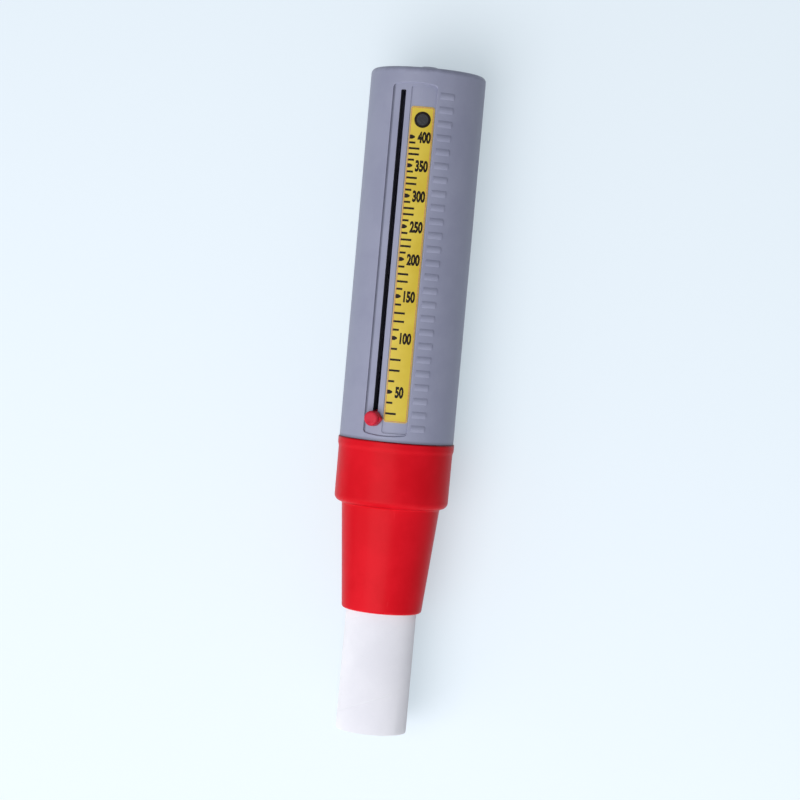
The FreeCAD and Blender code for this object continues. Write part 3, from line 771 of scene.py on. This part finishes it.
def wound_card():
    """White paper with a fine fibre, and rings of ply and glue where it is cut across."""
    material, tree, shader, spot = new_material(
        "wound_card", Specular_IOR_Level=0.25, Diffuse_Roughness=1.0
    )
    where = use_group(tree, about_axis, {"Object": spot})
    along, radius = where.outputs["Along"], where.outputs["Radius"]
    cloud = noise(tree, spot, scale=55.0, detail=5.0, roughness=0.65)
    drawn_out = place(tree, "Mapping", {
        "Vector": spot, "Rotation": (0, 0, 0.5), "Scale": (900.0, 3600.0, 900.0),
    })
    fibre = noise(tree, drawn_out.outputs[0], scale=1.0, detail=5.0, roughness=0.7)
    toned = mix_colors(tree, fade(tree, cloud, start=0.35, end=0.7), CARD_WHITE, CARD_PALE)
    flecks = multiply(tree, fade(tree, fibre, start=0.55, end=0.75), FLECK_SHARE)
    flecked = mix_colors(tree, flecks, toned, CARD_FIBRE)
    low_end = fade_near(tree, along, card_low.y, CARD_LOW_CUT)
    high_end = fade_near(tree, along, card_high.y, CARD_HIGH_CUT)
    ends = calculate(tree, "MAXIMUM", low_end, high_end)
    plies = calculate(tree, "SINE", multiply(tree, radius, 2 * math.pi / CARD_PLY))
    glue = multiply(tree, fade(tree, plies, start=0.3, end=0.9), GLUE_SHARE)
    cut = mix_colors(tree, multiply(tree, ends, glue), flecked, CARD_FIBRE)
    sheen = place(tree, "MapRange", {"Value": cloud, "To Min": 0.60, "To Max": 0.78})
    feed(tree, shader, cut, sheen.outputs[0], fibre, depth=0.00002)
    return material


finish_piece(
    "wound_mouthpiece", wind_card(), wound_card(), "mouthpiece_body", replaced="mouthpiece",
)


# Floor and light
# The meter lies on a pale sheet, under a large soft light that hangs over the mouthpiece's end.
# Weaker ones stand lower on the left and beyond the mouthpiece, so the right side falls into shade.

FLOOR_SIZE = 6.0
FLOOR_COLOR = (0.420, 0.440, 0.470, 1)
FLOOR_GLOW_COLOR = (0.790, 0.913, 0.990, 1)
FLOOR_GLOW = 0.54
WORLD_COLOR = (0.900, 0.940, 1.0, 1)
WORLD_STRENGTH = 0.28
LIGHTS = {
    "window": {"toward": (-0.72, -0.50, 0.48), "distance": 0.7, "size": 0.6, "level": 0.21},
    "ceiling": {"toward": (-0.15, -0.35, 0.92), "distance": 0.75, "size": 0.75, "level": 0.84},
    "fill": {"toward": (0.50, -0.79, 0.35), "distance": 0.36, "size": 0.30, "level": 0.14},
}


def lay_floor():
    """A sheet whose glow only the camera and the reflections see, so that it lights nothing."""
    bm = bmesh.new()
    bmesh.ops.create_grid(bm, x_segments=4, y_segments=4, size=FLOOR_SIZE / 2)
    mesh = bpy.data.meshes.new("floor")
    bm.to_mesh(mesh)
    bm.free()
    floor = bpy.data.objects.new("floor", mesh)
    bpy.context.scene.collection.objects.link(floor)
    material, tree, shader, _ = new_material(
        "floor_sheet", Specular_IOR_Level=0.1, Roughness=0.9,
        Base_Color=FLOOR_COLOR, Emission_Color=FLOOR_GLOW_COLOR,
    )
    rays = place(tree, "LightPath").outputs
    seen = calculate(tree, "MAXIMUM", rays["Is Camera Ray"], rays["Is Glossy Ray"])
    seen = calculate(tree, "MAXIMUM", seen, rays["Is Transmission Ray"])
    tree.links.new(multiply(tree, seen, FLOOR_GLOW), shader.inputs["Emission Strength"])
    mesh.materials.append(material)


def hang_light(name, toward, distance, size, level):
    """level is the share of a white surface facing the light that it lights by itself."""
    data = bpy.data.lights.new(name, "AREA")
    data.shape = "DISK"
    data.size = size
    data.energy = level * math.pi ** 2 * distance ** 2
    light = bpy.data.objects.new(name, data)
    direction = Vector(toward).normalized()
    light.location = Vector((0, 0, axis_z)) + direction * distance
    light.rotation_euler = direction.to_track_quat("Z", "Y").to_euler()
    bpy.context.scene.collection.objects.link(light)


lay_floor()
for name, values in LIGHTS.items():
    hang_light(name, **values)
world = bpy.data.worlds.new("soft_room")
world.use_nodes = True
world.node_tree.nodes["Background"].inputs["Color"].default_value = WORLD_COLOR
world.node_tree.nodes["Background"].inputs["Strength"].default_value = WORLD_STRENGTH
bpy.context.scene.world = world


# Camera
# It looks down at the scale from a little to its right, and is rolled so that the vent end leans to
# the right in the picture.

CAMERA_TURN = math.radians(13)
CAMERA_DISTANCE = 0.687
CAMERA_RISE = 0.026
CAMERA_ROLL = math.radians(-5.1)
SENSOR = 36.0
VIEW_HEIGHT = 0.238


def aim_camera():
    """Turns the camera to the meter's middle with its roll. VIEW_HEIGHT fills the picture there."""
    target = Vector((0, 0, axis_z))
    aside = math.sin(CAMERA_TURN) * CAMERA_DISTANCE
    above = math.cos(CAMERA_TURN) * CAMERA_DISTANCE
    position = target + Vector((aside, CAMERA_RISE, above))
    view = (target - position).normalized()
    up = Quaternion(view, CAMERA_ROLL) @ Vector((0, 1, 0))
    right = view.cross(up).normalized()
    turn = Matrix((right, right.cross(view), -view)).transposed().to_4x4()
    data = bpy.data.cameras.new("camera")
    data.sensor_width = SENSOR
    data.lens = SENSOR * CAMERA_DISTANCE / VIEW_HEIGHT
    camera = bpy.data.objects.new("camera", data)
    camera.matrix_world = Matrix.Translation(position) @ turn
    bpy.context.scene.collection.objects.link(camera)
    bpy.context.scene.camera = camera


aim_camera()
bpy.context.scene.view_settings.view_transform = "Standard"
